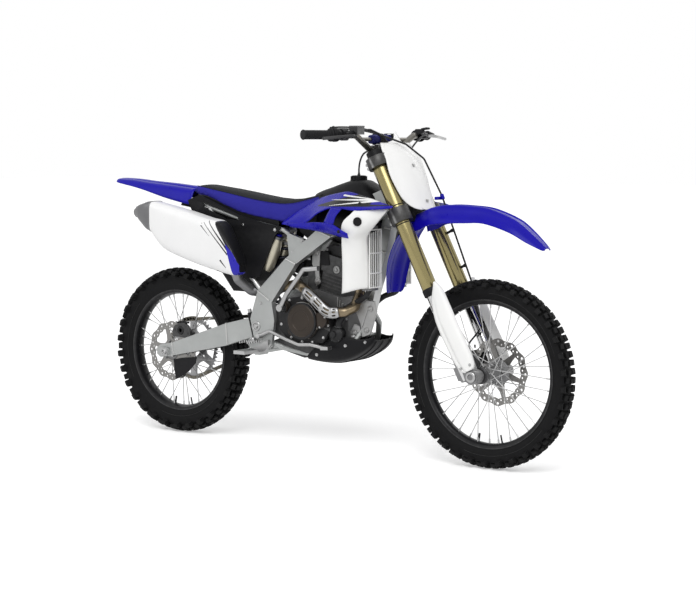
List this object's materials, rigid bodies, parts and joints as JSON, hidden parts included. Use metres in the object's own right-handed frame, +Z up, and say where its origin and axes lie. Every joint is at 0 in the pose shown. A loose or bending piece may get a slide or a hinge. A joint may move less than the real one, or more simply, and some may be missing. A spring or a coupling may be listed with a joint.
{
  "type": "motocross bike",
  "caption": "Off-road motorcycle for motocross: twin-spar frame, long forks that steer, knobby tyres on wire wheels, chain drive and a side muffler; it has no stand.",
  "frame": {"origin": "the rider's seat point, on top of the saddle at its lowest, in the middle of the bike", "axes": "+X forwards, +Y to the rider's left, +Z up; both wheels stand on Z = -0.960 m"},
  "size_m": [2.1505, 0.8218, 1.2414],
  "materials": {
    "frame_aluminium": "satin, brushed along the beams",
    "reservoir_gold": "satin anodised",
    "engine_grey": "cast",
    "cover_bronze": "satin",
    "engine_dark": "satin cast",
    "muffler_white": "gloss",
    "dark_steel": "satin",
    "header_bronze": "heat tinted",
    "radiator_silver": "matt finned",
    "white_plastic": "gloss",
    "blue_plastic": "gloss",
    "black_plastic": "grained",
    "seat_cover": "gripper vinyl",
    "pad_cover": "vinyl",
    "bright_steel": "satin",
    "chain_steel": "oiled",
    "clamp_grey": "cast satin",
    "fork_gold": "satin anodised",
    "black_rubber": "matt",
    "tyre_rubber": "matt",
    "rim_black": "satin",
    "disc_steel": "ground",
    "sprocket_steel": "ground"
  },
  "bodies": {
    "root": {"frame": "frame_aluminium", "subframe": "frame_aluminium", "swingarm": "frame_aluminium", "rear_shock": "reservoir_gold", "shock_linkage": "frame_aluminium", "crankcase": "engine_grey", "engine_covers": "cover_bronze", "cylinder": "engine_dark", "muffler": "muffler_white", "muffler_cap": "dark_steel", "exhaust_pipe": "header_bronze", "radiators": "radiator_silver", "radiator_panels": "white_plastic", "shrouds": "blue_plastic", "fuel_tank": "black_plastic", "seat": "seat_cover", "side_panels": "black_plastic", "rear_fender": "blue_plastic", "airbox": "black_plastic", "skid_plate": "black_plastic", "foot_pegs": "bright_steel", "brake_pedal": "bright_steel", "shift_lever": "bright_steel", "kick_lever": "bright_steel", "chain": "chain_steel", "rear_caliper": "dark_steel"},
    "steering": {"triple_clamps": "clamp_grey", "fork_tubes": "fork_gold", "fork_lowers": "clamp_grey", "fork_guards": "white_plastic", "handlebar": "bright_steel", "bar_pad": "pad_cover", "grips": "black_rubber", "brake_lever": "bright_steel", "clutch_lever": "bright_steel", "number_plate": "white_plastic", "front_fender": "blue_plastic", "front_caliper": "dark_steel", "brake_hose": "black_rubber"},
    "front_wheel": {"front_tyre": "tyre_rubber", "front_wire_wheel": "rim_black", "front_brake_disc": "disc_steel"},
    "rear_wheel": {"rear_tyre": "tyre_rubber", "rear_wire_wheel": "rim_black", "rear_brake_disc": "disc_steel", "rear_sprocket": "sprocket_steel"}
  },
  "joints": [
    {"name": "steering", "type": "hinge", "parent": "root", "child": "steering", "pos_m": [0.8416, 0, -0.63647], "axis": [-0.4513, 0, 0.8923], "range_deg": [-42, 42]},
    {"name": "front_wheel_spin", "type": "hinge", "parent": "steering", "child": "front_wheel", "pos_m": [0.888, 0, -0.613], "axis": [0, 1, 0], "continuous": true},
    {"name": "rear_wheel_spin", "type": "hinge", "parent": "root", "child": "rear_wheel", "pos_m": [-0.58, 0, -0.622], "axis": [0, 1, 0], "continuous": true}
  ]
}
